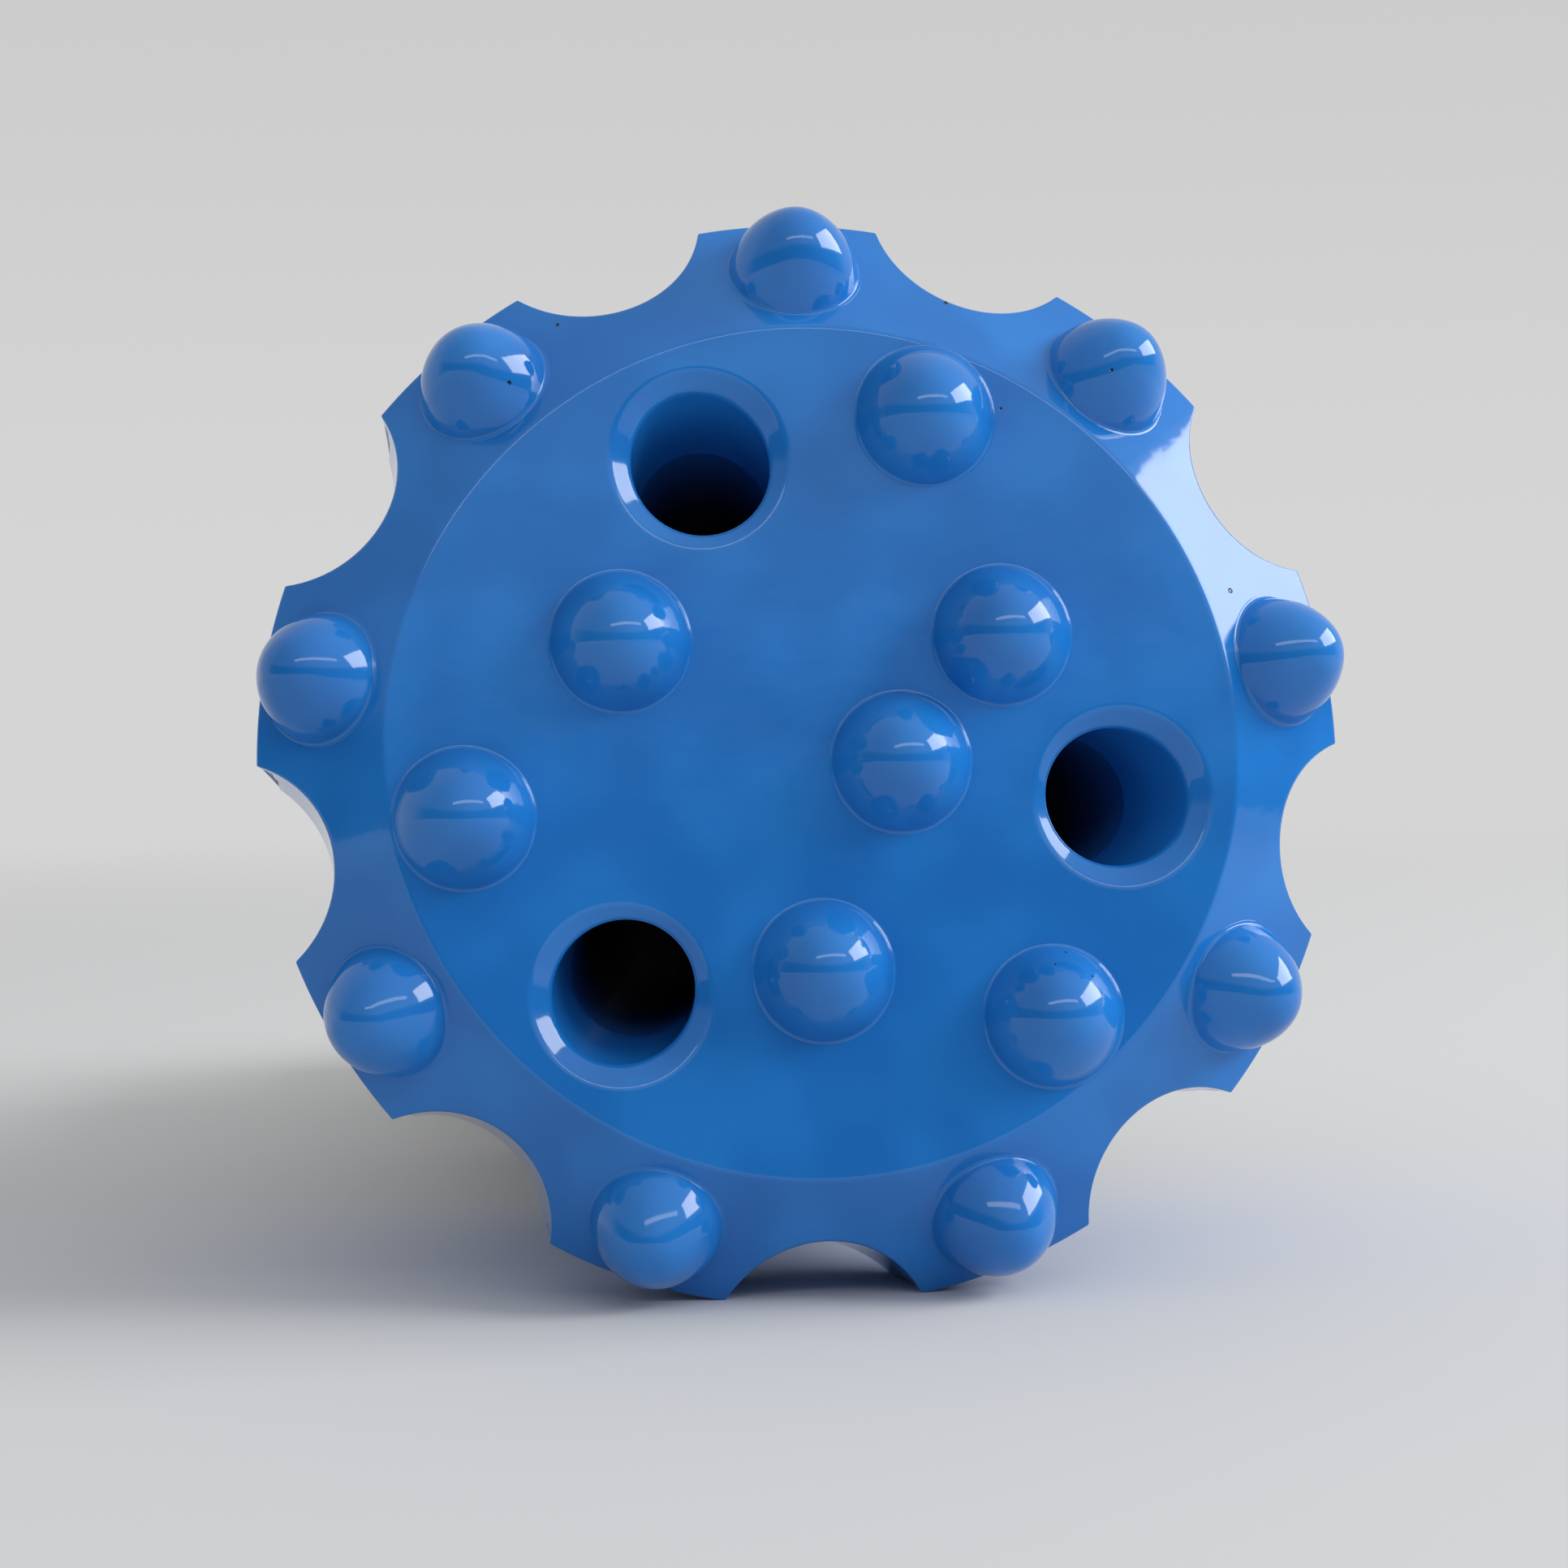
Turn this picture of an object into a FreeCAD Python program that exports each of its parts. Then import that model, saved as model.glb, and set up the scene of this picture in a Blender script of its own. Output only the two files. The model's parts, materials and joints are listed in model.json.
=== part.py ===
"""Down-the-hole button drill bit: one forged and machined steel bit with a splined
shank, nine gauge buttons, seven face buttons and a plastic foot valve.

Every piece is drawn in the bit's own frame: the origin is the centre of the face, +Z
is the bit's axis out of the face, and angles turn about +Z from the flute that lies
lowest.  The finished bit lies on a level surface, as it rests by itself: on the two
gauge corners beside that flute and on the edge of its rear collar, face towards -Y.
"""
import FreeCAD, Part
import math
import os
import re
import Sketcher
from FreeCAD import Placement, Rotation, Vector

# driving sizes, in millimetres and degrees
SIZES = {
    # head
    "bit_diameter": (130.0, "hole size, across the domes of the gauge buttons"),
    "gauge_relief": (0.7, "widest steel of the head, inside the gauge buttons' circle"),
    "bevel_width": (14.5, "gauge bevel, from the face's edge out to the gauge"),
    "bevel_angle": (35.0, "gauge bevel, down from the face"),
    "face_edge_radius": (0.8, "rounding between face and bevel"),
    "skirt_length": (25.0, "face to the rear edge of the gauge skirt"),
    "skirt_relief": (9.0, "taper of the skirt towards the rear"),
    "back_bevel_angle": (48.0, "rear bevel of the skirt, from the axis"),
    "waist_diameter": (98.0, "round part of the head behind the skirt"),
    "waist_fillet": (9.0, "hollow between rear bevel and waist"),
    "head_length": (82.0, "face to shoulder"),
    "shoulder_chamfer": (2.0, "edge of the shoulder"),
    "shoulder_fillet": (3.0, "root of the shank"),
    # flutes round the gauge
    "flute_count": (9, "flutes, one between each pair of gauge buttons"),
    "flute_radius": (13.7, "hollow of a flute"),
    "flute_depth": (7.7, "floor of a flute, below the gauge"),
    # flushing holes
    "hole_count": (3, "flushing holes"),
    "hole_angle": (200.0, "direction of the first flushing hole"),
    "hole_circle": (36.5, "axis to a flushing hole's mouth"),
    "hole_diameter": (16.5, "flushing hole"),
    "hole_lean": (20.0, "slope of a flushing hole towards the axis"),
    "hole_rim_diameter": (20.8, "countersink at the face"),
    "hole_rim_slope": (30.0, "slope of the countersink, down from the face"),
    # carbide buttons
    "gauge_button_diameter": (15.0, "gauge button"),
    "gauge_dome_height": (7.1, "gauge button, dome above the bevel"),
    "gauge_grip_length": (13.5, "gauge button, length in its socket"),
    "face_button_diameter": (16.0, "face button"),
    "face_dome_height": (6.8, "face button, dome above the face"),
    "face_grip_length": (14.5, "face button, length in its socket"),
    "button_chamfer": (1.2, "edge at the foot of a button"),
    "outer_ring_inset": (8.3, "outer face buttons, inside the face's edge"),
    "outer_ring_angle": (160.0, "direction of the first outer face button"),
    "middle_ring_radius": (25.8, "axis to the middle face buttons"),
    "middle_ring_angle": (120.0, "direction of the first middle face button"),
    "ring_count": (3, "face buttons in each ring"),
    "core_button_radius": (10.1, "axis to the button beside the centre"),
    "core_button_angle": (80.0, "direction of the button beside the centre"),
    # shank
    "spline_count": (8, "splines"),
    "spline_diameter": (79.0, "across the splines, and the land before them"),
    "gullet_floor": (34.0, "axis to the floor between two splines"),
    "gullet_width": (15.0, "width between two splines"),
    "land_length": (9.0, "plain land between shoulder and gullets"),
    "cutter_radius": (32.0, "run-out of a gullet into the land"),
    "spline_end": (150.0, "face to the rear end of the splines"),
    "spline_chamfer": (3.0, "rear ends of the splines"),
    "neck_depth": (4.5, "neck for the retaining ring, below the collar"),
    "neck_fillet": (5.0, "front end of the neck"),
    "neck_end": (196.0, "face to the front of the rear collar"),
    "collar_root_fillet": (2.5, "rear end of the neck"),
    "collar_diameter": (66.0, "rear collar"),
    "collar_chamfer": (1.6, "both edges of the collar"),
    "bit_length": (228.0, "face to strike face"),
    # air way and foot valve
    "bore_diameter": (28.0, "air bore"),
    "bore_end": (88.0, "face to the front end of the air bore's full width"),
    "drill_point_angle": (59.0, "front end of the air bore, half angle"),
    "valve_diameter": (32.0, "foot valve's tube, outside"),
    "valve_step": (1.0, "foot valve's seated end, thicker than its tube"),
    "valve_seat_depth": (34.0, "foot valve inside the bit"),
    "valve_bore": (24.0, "air way through the foot valve"),
    "valve_standout": (44.0, "foot valve behind the strike face"),
    "valve_lead": (2.0, "taper at the foot valve's open end, across"),
    "valve_lead_length": (6.0, "taper at the foot valve's open end, along"),
    "bead_height": (1.0, "retaining bead on the foot valve"),
    "bead_length": (7.0, "length of the retaining bead"),
    "bead_depth": (16.0, "strike face to the middle of the bead"),
    "mouth_chamfer": (1.5, "edge where the foot valve enters"),
    # machining
    "fillet_share": (0.9, "most that a fillet takes of the wall beside it"),
    "cut_over": (2.0, "a cutter starts this far outside the steel"),
}

# sizes that follow from the driving ones, each from those before it
WORKED_OUT = {
    "gauge_radius": "bit_diameter / 2 - gauge_relief",
    "face_radius": "gauge_radius - bevel_width",
    "bevel_drop": "bevel_width * tan(bevel_angle)",
    "skirt_radius": "gauge_radius - (skirt_length - bevel_drop) * tan(skirt_relief)",
    "waist_radius": "waist_diameter / 2",
    "waist_front": "skirt_length + (skirt_radius - waist_radius) / tan(back_bevel_angle)",
    "flute_centre": "gauge_radius - flute_depth + flute_radius",
    "hole_radius": "hole_diameter / 2",
    "hole_length": "(hole_circle + cut_over) / sin(hole_lean)",
    "rim_radius": "hole_rim_diameter / 2",
    "rim_depth": "rim_radius * tan(hole_rim_slope)",
    "rim_over": "rim_radius + cut_over / tan(hole_rim_slope)",
    "gauge_button_radius": "gauge_button_diameter / 2",
    "gauge_dome_radius": "(gauge_button_radius^2 + gauge_dome_height^2) / (2 * gauge_dome_height)",
    "gauge_dome_sink": "gauge_dome_radius - gauge_dome_height",
    "gauge_seat_radius": "bit_diameter / 2 - gauge_dome_radius + gauge_dome_sink * sin(bevel_angle)",
    "gauge_seat_drop": "(gauge_seat_radius - face_radius) * tan(bevel_angle)",
    "face_button_radius": "face_button_diameter / 2",
    "face_dome_radius": "(face_button_radius^2 + face_dome_height^2) / (2 * face_dome_height)",
    "face_dome_sink": "face_dome_radius - face_dome_height",
    "outer_ring_radius": "face_radius - outer_ring_inset",
    "land_radius": "spline_diameter / 2",
    "shank_root_fillet": "min(shoulder_fillet; fillet_share * (waist_radius - shoulder_chamfer"
                         " - land_radius))",
    "gullet_depth": "land_radius - gullet_floor",
    "gullet_runout": "sqrt(cutter_radius^2 - (cutter_radius - gullet_depth)^2)",
    "gullet_front": "head_length + land_length + gullet_runout",
    "gullet_top": "land_radius + cut_over",
    "gullet_tip": "gullet_front - sqrt(cutter_radius^2 - (cutter_radius - gullet_depth - cut_over)^2)",
    "collar_radius": "collar_diameter / 2",
    "neck_radius": "collar_radius - neck_depth",
    "neck_front_fillet": "min(neck_fillet; fillet_share * (land_radius - spline_chamfer - neck_radius))",
    "neck_rear_fillet": "min(collar_root_fillet; fillet_share * (neck_depth - collar_chamfer))",
    "bore_radius": "bore_diameter / 2",
    "bore_tip": "bore_end - bore_radius / tan(drill_point_angle)",
    "valve_radius": "valve_diameter / 2",
    "seat_radius": "valve_radius + valve_step",
    "valve_bore_radius": "valve_bore / 2",
    "valve_front": "bit_length - valve_seat_depth",
    "valve_rear": "bit_length + valve_standout",
    "bead_radius": "seat_radius + bead_height",
    "bead_front": "bit_length - bead_depth - bead_length / 2",
    "bead_rear": "bit_length - bead_depth + bead_length / 2",
    # the bit at rest: gauge corners beside the lowest flute, and the collar's rear edge
    "corner_cosine": "(gauge_radius^2 + flute_centre^2 - flute_radius^2)"
                     " / (2 * gauge_radius * flute_centre)",
    "corner_depth": "gauge_radius * corner_cosine",
    "rest_span": "bit_length - collar_chamfer - bevel_drop",
    "rest_tilt": "atan((corner_depth - collar_radius) / rest_span) / 1 deg",
    "rest_height": "corner_depth * cos(rest_tilt) + bevel_drop * sin(rest_tilt)",
    "front_reach": "face_dome_radius - face_dome_sink * cos(rest_tilt)"
                   " + outer_ring_radius * cos(outer_ring_angle - 360 / ring_count) * sin(rest_tilt)",
    "rear_reach": "valve_rear * cos(rest_tilt) + (valve_radius - valve_lead) * sin(rest_tilt)",
}

doc = FreeCAD.newDocument("ButtonDrillBit")
sheet = doc.addObject("Spreadsheet::Sheet", "Sizes")
for row, (alias, (value, note)) in enumerate(SIZES.items(), start=1):
    sheet.set("A%d" % row, note)
    sheet.set("B%d" % row, "%g" % value)
    sheet.setAlias("B%d" % row, alias)
for row, (alias, formula) in enumerate(WORKED_OUT.items(), start=len(SIZES) + 2):
    sheet.set("B%d" % row, "=" + formula)
    sheet.setAlias("B%d" % row, alias)
doc.recompute()


def amount(text):
    """The number that a formula on the sheet's names comes to."""
    return float(sheet.evalExpression(text))


def bound(text):
    """The same formula, as an object outside the sheet has to write it."""
    return re.sub(r"[a-z_]+", lambda m: "Sizes." + m.group() if m.group() in NAMES else m.group(), text)


NAMES = set(SIZES) | set(WORKED_OUT)


def pin(sketch, geometry, point, across, along):
    """Holds a point of a sketch at (across, along), two formulas; "0" is the axis itself."""
    for kind, axis, text in (("DistanceX", -2, across), ("DistanceY", -1, along)):
        if text == "0":
            sketch.addConstraint(Sketcher.Constraint("PointOnObject", geometry, point, axis))
            continue
        index = sketch.addConstraint(
            Sketcher.Constraint(kind, -1, 1, geometry, point, amount(text)))
        sketch.setExpression("Constraints[%d]" % index, bound(text))


def add_sketch(body, name, plane, offset):
    """An empty sketch on one of the body's origin planes, moved by an offset in that plane."""
    sketch = body.newObject("Sketcher::SketchObject", name)
    base = next(f for f in body.Origin.OriginFeatures if f.Role == plane)
    sketch.AttachmentSupport = (base, [""])
    sketch.MapMode = "FlatFace"
    sketch.setExpression("AttachmentOffset", bound(offset))
    return sketch


def draw_outline(sketch, corners, arcs=None):
    """A closed outline through corners (across, along), given as formulas.

    arcs maps a corner's index to (axis, formula): the side that leaves this corner is an
    arc, and one coordinate of its centre is the formula."""
    arcs = arcs or {}
    spots = [Vector(amount(x), amount(y), 0) for x, y in corners]
    starts, ends = [], []
    for i, (here, there) in enumerate(zip(spots, spots[1:] + spots[:1])):
        if i not in arcs:
            line = sketch.addGeometry(Part.LineSegment(here, there), False)
            starts.append((line, 1))
            ends.append((line, 2))
            continue
        axis, text = arcs[i]
        centre = arc_centre(here, there, axis, amount(text))
        turn_here = math.atan2(here.y - centre.y, here.x - centre.x)
        turn_there = math.atan2(there.y - centre.y, there.x - centre.x)
        forwards = (turn_there - turn_here) % (2 * math.pi) < math.pi
        turns = (turn_here, turn_there) if forwards else (turn_there, turn_here)
        circle = Part.Circle(centre, Vector(0, 0, 1), here.distanceToPoint(centre))
        arc = sketch.addGeometry(Part.ArcOfCircle(circle, *turns), False)
        starts.append((arc, 1 if forwards else 2))
        ends.append((arc, 2 if forwards else 1))
        hold_centre(sketch, arc, axis, text)
    for start, before, (x, y) in zip(starts, ends[-1:] + ends[:-1], corners):
        sketch.addConstraint(Sketcher.Constraint("Coincident", *before, *start))
        pin(sketch, *start, x, y)


def arc_centre(here, there, axis, held):
    """The point as far from both ends of an arc, with one coordinate already held."""
    middle, chord = (here + there) * 0.5, there - here
    if axis == "across":
        return Vector(held, middle.y + (middle.x - held) * chord.x / chord.y, 0)
    return Vector(middle.x + (middle.y - held) * chord.y / chord.x, held, 0)


def hold_centre(sketch, arc, axis, text):
    """Holds one coordinate of an arc's centre."""
    kind, line = ("DistanceX", -2) if axis == "across" else ("DistanceY", -1)
    if text == "0":
        sketch.addConstraint(Sketcher.Constraint("PointOnObject", arc, 3, line))
        return
    index = sketch.addConstraint(Sketcher.Constraint(kind, -1, 1, arc, 3, amount(text)))
    sketch.setExpression("Constraints[%d]" % index, bound(text))


def radial(angle, across="0", along="0", lean="0"):
    """An offset that turns the XZ plane to an angle about the bit's axis, then moves the
    sketch's own origin to (across, along) and leans its upright axis outwards."""
    return ("placement(vector(0; 0; 0); rotation(vector(0; 1; 0); %s))"
            " * placement(vector(%s; %s; 0); rotation(vector(0; 0; 1); -(%s)))"
            % (angle, across, along, lean))


def add_body(label):
    body = doc.addObject("PartDesign::Body", label)
    body.Label = label
    return body


def turn_profile(body, name, corners, arcs=None):
    """A solid of revolution about the body's Z axis."""
    sketch = add_sketch(body, name + "_profile", "XZ_Plane", radial("0"))
    draw_outline(sketch, corners, arcs)
    solid = body.newObject("PartDesign::Revolution", name)
    solid.Profile = sketch
    solid.ReferenceAxis = (sketch, ["V_Axis"])
    solid.Angle = 360
    body.Tip = solid
    doc.recompute()
    return solid


def cut_round(body, name, offset, corners):
    """A cut of revolution about the upright axis of a sketch that is moved by an offset."""
    before = body.Shape.Volume
    sketch = add_sketch(body, name + "_profile", "XZ_Plane", offset)
    draw_outline(sketch, corners)
    groove = body.newObject("PartDesign::Groove", name)
    groove.Profile = sketch
    groove.ReferenceAxis = (sketch, ["V_Axis"])
    groove.Angle = 360
    body.Tip = groove
    doc.recompute()
    require_cut(body, name, before)
    return groove


def drill(body, name, radius, depth, offset):
    """A straight hole with a flat end, from outside the steel down to a depth."""
    return cut_round(body, name, offset, [
        ("0", "cut_over"), (radius, "cut_over"), (radius, "-" + depth), ("0", "-" + depth)])


def ring_of(body, name, features, count):
    """Repeats cuts evenly about the bit's axis."""
    before = body.Shape.Volume
    pattern = body.newObject("PartDesign::PolarPattern", name)
    pattern.Originals = features
    pattern.Axis = (next(f for f in body.Origin.OriginFeatures if f.Role == "Z_Axis"), [""])
    pattern.Angle = 360
    pattern.setExpression("Occurrences", bound(count))
    body.Tip = pattern
    doc.recompute()
    require_cut(body, name, before)
    return pattern


def require_cut(body, name, before):
    """Stops if a cut missed the steel."""
    if not body.Shape.Volume < before:
        raise RuntimeError(name + " cuts nothing")


def round_rings(body, name, base, rings, radius):
    """Rounds the circular edges of a turned solid that lie at the given (radius, height)."""
    places = [(amount(across), amount(along)) for across, along in rings]
    edges = []
    for i, edge in enumerate(base.Shape.Edges, start=1):
        if not isinstance(edge.Curve, Part.Circle):
            continue
        here = (edge.Curve.Radius, edge.Curve.Center.z)
        if any(math.dist(here, place) < 1e-4 for place in places):
            edges.append("Edge%d" % i)
    fillet = body.newObject("PartDesign::Fillet", name)
    fillet.Base = (base, edges)
    fillet.setExpression("Radius", bound(radius))
    body.Tip = fillet
    doc.recompute()
    return fillet


# the forged and turned bit, from the face back to the strike face
bit = add_body("bit_body")
bit.setExpression("Placement", bound(
    "placement(vector(0; (front_reach - rear_reach) / 2; rest_height);"
    " rotation(vector(1; 0; 0); 90 - rest_tilt))"
    " * placement(vector(0; 0; 0); rotation(vector(0; 0; 1); -90))"))
turned = turn_profile(bit, "turned_bit", [
    ("0", "0"),
    ("face_radius", "0"),
    ("gauge_radius", "-bevel_drop"),
    ("skirt_radius", "-skirt_length"),
    ("waist_radius", "-waist_front"),
    ("waist_radius", "shoulder_chamfer - head_length"),
    ("waist_radius - shoulder_chamfer", "-head_length"),
    ("land_radius", "-head_length"),
    ("land_radius", "spline_chamfer - spline_end"),
    ("land_radius - spline_chamfer", "-spline_end"),
    ("neck_radius", "-spline_end"),
    ("neck_radius", "-neck_end"),
    ("collar_radius - collar_chamfer", "-neck_end"),
    ("collar_radius", "-(neck_end + collar_chamfer)"),
    ("collar_radius", "collar_chamfer - bit_length"),
    ("collar_radius - collar_chamfer", "-bit_length"),
    ("0", "-bit_length"),
])
for name, ring, radius in (
        ("face_edge", ("face_radius", "0"), "face_edge_radius"),
        ("waist_hollow", ("waist_radius", "-waist_front"), "waist_fillet"),
        ("shank_root", ("land_radius", "-head_length"), "shank_root_fillet"),
        ("neck_front", ("neck_radius", "-spline_end"), "neck_front_fillet"),
        ("neck_rear", ("neck_radius", "-neck_end"), "neck_rear_fillet")):
    turned = round_rings(bit, name, turned, [ring], radius)

# flutes: round channels along the skirt, midway between the gauge buttons
before_flutes = bit.Shape.Volume
flute_sketch = add_sketch(bit, "flute_section", "XY_Plane",
                          "placement(vector(0; 0; cut_over); rotation(vector(0; 0; 1); 0))")
circle = flute_sketch.addGeometry(
    Part.Circle(Vector(amount("flute_centre"), 0, 0), Vector(0, 0, 1), amount("flute_radius")), False)
pin(flute_sketch, circle, 3, "flute_centre", "0")
flute_size = flute_sketch.addConstraint(
    Sketcher.Constraint("Radius", circle, amount("flute_radius")))
flute_sketch.setExpression("Constraints[%d]" % flute_size, bound("flute_radius"))
flute = bit.newObject("PartDesign::Pocket", "flute")
flute.Profile = flute_sketch
flute.Type = "ThroughAll"
bit.Tip = flute
doc.recompute()
require_cut(bit, "flute", before_flutes)
ring_of(bit, "flutes", [flute], "flute_count")

# gullets between the splines: straight slots that run out as their cutter leaves the steel
before_gullets = bit.Shape.Volume
gullet_sketch = add_sketch(bit, "gullet_side", "XZ_Plane", radial("0"))
draw_outline(gullet_sketch, [
    ("gullet_floor", "-(spline_end + cut_over)"),
    ("gullet_top", "-(spline_end + cut_over)"),
    ("gullet_top", "-gullet_tip"),
    ("gullet_floor", "-gullet_front"),
], {2: ("along", "-gullet_front")})
gullet = bit.newObject("PartDesign::Pocket", "gullet")
gullet.Profile = gullet_sketch
gullet.SideType = "Symmetric"
gullet.setExpression("Length", bound("gullet_width"))
bit.Tip = gullet
doc.recompute()
require_cut(bit, "gullet", before_gullets)
ring_of(bit, "gullets", [gullet], "spline_count")

# air way: bore with a drilled end, seat for the foot valve, and the flushing holes into it
cut_round(bit, "air_bore", radial("0"), [
    ("0", "-(bit_length + cut_over)"),
    ("seat_radius + mouth_chamfer + cut_over", "-(bit_length + cut_over)"),
    ("seat_radius", "mouth_chamfer - bit_length"),
    ("seat_radius", "-bead_rear"),
    ("bead_radius", "bead_height - bead_rear"),
    ("bead_radius", "-(bead_front + bead_height)"),
    ("seat_radius", "-bead_front"),
    ("seat_radius", "-valve_front"),
    ("bore_radius", "-valve_front"),
    ("bore_radius", "-bore_end"),
    ("0", "-bore_tip"),
])
hole = drill(bit, "flushing_hole", "hole_radius", "hole_length",
             radial("hole_angle", "hole_circle", "0", "hole_lean"))
rim = cut_round(bit, "hole_rim", radial("hole_angle", "hole_circle"), [
    ("0", "cut_over"), ("rim_over", "cut_over"), ("0", "-rim_depth")])
ring_of(bit, "flushing_holes", [hole, rim], "hole_count")

# sockets, which the buttons fill
gauge_angle = "180 / flute_count"
gauge_socket = drill(bit, "gauge_socket", "gauge_button_radius", "gauge_grip_length",
                     radial(gauge_angle, "gauge_seat_radius", "-gauge_seat_drop", "bevel_angle"))
ring_of(bit, "gauge_sockets", [gauge_socket], "flute_count")
for name in ("outer_ring", "middle_ring"):
    socket = drill(bit, name + "_socket", "face_button_radius", "face_grip_length",
                   radial(name + "_angle", name + "_radius"))
    ring_of(bit, name + "_sockets", [socket], "ring_count")
drill(bit, "core_socket", "face_button_radius", "face_grip_length",
      radial("core_button_angle", "core_button_radius"))


def add_button(label, kind, angle, radius, drop="0", lean="0"):
    """A carbide button: chamfered foot, round grip and domed top, seated in its socket."""
    button = add_body(label)
    turn_profile(button, label + "_form", [
        ("0", "-%s_grip_length" % kind),
        ("%s_button_radius - button_chamfer" % kind, "-%s_grip_length" % kind),
        ("%s_button_radius" % kind, "button_chamfer - %s_grip_length" % kind),
        ("%s_button_radius" % kind, "0"),
        ("0", "%s_dome_height" % kind),
    ], {3: ("across", "0")})
    button.setExpression("Placement", "bit_body.Placement * " + bound(
        "placement(vector(0; 0; 0); rotation(vector(0; 0; 1); %s))"
        " * placement(vector(%s; 0; -(%s)); rotation(vector(0; 1; 0); %s))"
        % (angle, radius, drop, lean)))
    return button


buttons = []
for i in range(int(amount("flute_count"))):
    buttons.append(add_button("gauge_button_%d" % (i + 1), "gauge",
                              "%s + %d * 360 / flute_count" % (gauge_angle, i),
                              "gauge_seat_radius", "gauge_seat_drop", "bevel_angle"))
for name in ("outer", "middle"):
    for i in range(int(amount("ring_count"))):
        buttons.append(add_button("%s_button_%d" % (name, i + 1), "face",
                                  "%s_ring_angle + %d * 360 / ring_count" % (name, i),
                                  name + "_ring_radius"))
buttons.append(add_button("core_button", "face", "core_button_angle", "core_button_radius"))

# foot valve: a plastic tube that snaps into the strike end by its bead
valve = add_body("foot_valve")
turn_profile(valve, "valve_tube", [
    ("valve_bore_radius", "-valve_front"),
    ("seat_radius", "-valve_front"),
    ("seat_radius", "-bead_front"),
    ("bead_radius", "-(bead_front + bead_height)"),
    ("bead_radius", "bead_height - bead_rear"),
    ("seat_radius", "-bead_rear"),
    ("seat_radius", "mouth_chamfer - bit_length"),
    ("valve_radius", "-bit_length"),
    ("valve_radius", "valve_lead_length - valve_rear"),
    ("valve_radius - valve_lead", "-valve_rear"),
    ("valve_bore_radius", "-valve_rear"),
])
valve.setExpression("Placement", "bit_body.Placement")
doc.recompute()

# every object has to be sound before anything is written
for thing in doc.Objects:
    if {"Invalid", "Error"} & set(thing.State):
        raise RuntimeError("%s failed: %s" % (thing.Name, thing.State))
    if isinstance(thing, Sketcher.Sketch) and thing.solve() != 0:
        raise RuntimeError(thing.Name + " doesn't solve")
pieces = [bit] + buttons + [valve]
for piece in pieces:
    if piece.Shape.isNull() or not piece.Shape.isValid() or len(piece.Shape.Solids) != 1:
        raise RuntimeError(piece.Label + " is not one sound solid")
os.makedirs("parts", exist_ok=True)
for piece in pieces:
    piece.Shape.exportStep("parts/%s.step" % piece.Label)
    print(piece.Label, round(piece.Shape.Volume), piece.Shape.BoundBox)
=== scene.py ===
import json
import math

import bmesh
import bpy
import numpy as np
from mathutils import Matrix


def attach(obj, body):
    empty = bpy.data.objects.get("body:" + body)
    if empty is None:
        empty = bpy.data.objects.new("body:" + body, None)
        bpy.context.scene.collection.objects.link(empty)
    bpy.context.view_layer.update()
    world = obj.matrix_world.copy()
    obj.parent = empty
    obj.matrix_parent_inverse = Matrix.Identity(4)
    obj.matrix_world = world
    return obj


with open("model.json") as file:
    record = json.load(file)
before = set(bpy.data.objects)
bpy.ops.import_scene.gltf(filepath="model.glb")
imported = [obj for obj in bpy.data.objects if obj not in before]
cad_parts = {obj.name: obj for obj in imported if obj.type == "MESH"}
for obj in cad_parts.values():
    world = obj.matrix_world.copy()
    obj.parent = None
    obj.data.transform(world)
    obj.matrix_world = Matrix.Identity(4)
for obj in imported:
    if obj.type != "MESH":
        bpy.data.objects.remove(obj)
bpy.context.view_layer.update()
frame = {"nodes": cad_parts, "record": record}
print("frame loaded,", len(frame["nodes"]), "solids")

# the bit's own frame, in millimetres: origin at the centre of the face, x to the right,
# y up the face and z out of it. The frame's mounts give the axis, the solid gives the face.
mm = 0.001
mounts = {mount["name"]: mount for mount in frame["record"]["mounts"]}
axisBack = np.array(mounts["collar_journal"]["axis"], float)
axisPoint = np.array(mounts["collar_journal"]["pos_m"], float)


def nodePoints(name):
    # all the corners of a solid, in metres
    mesh = frame["nodes"][name].data
    points = np.zeros(len(mesh.vertices) * 3, np.float32)
    mesh.vertices.foreach_get("co", points)
    return points.reshape(-1, 3).astype(float)


depths = (nodePoints("bit_body") - axisPoint) @ axisBack
faceCentre = axisPoint + axisBack * depths.min()
acrossAxis = np.array([1.0, 0.0, 0.0])
bitFrame = np.stack([acrossAxis, np.cross(-axisBack, acrossAxis), -axisBack])


def place(points):
    # from the bit's own frame, in millimetres, to the scene, in metres
    return faceCentre + np.asarray(points, float) * mm @ bitFrame


# shapes are grids of points, worked out from two parameters
def gridFaces(rows, cols, first, wrap):
    # four-sided faces between neighbouring points of a grid; wrap joins the last column to the first
    row, col = np.meshgrid(np.arange(rows - 1), np.arange(cols if wrap else cols - 1), indexing="ij")
    here = first + row * cols + col
    there = first + row * cols + (col + 1) % cols
    return np.stack([here, there, there + cols, here + cols], -1).reshape(-1, 4)


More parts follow.
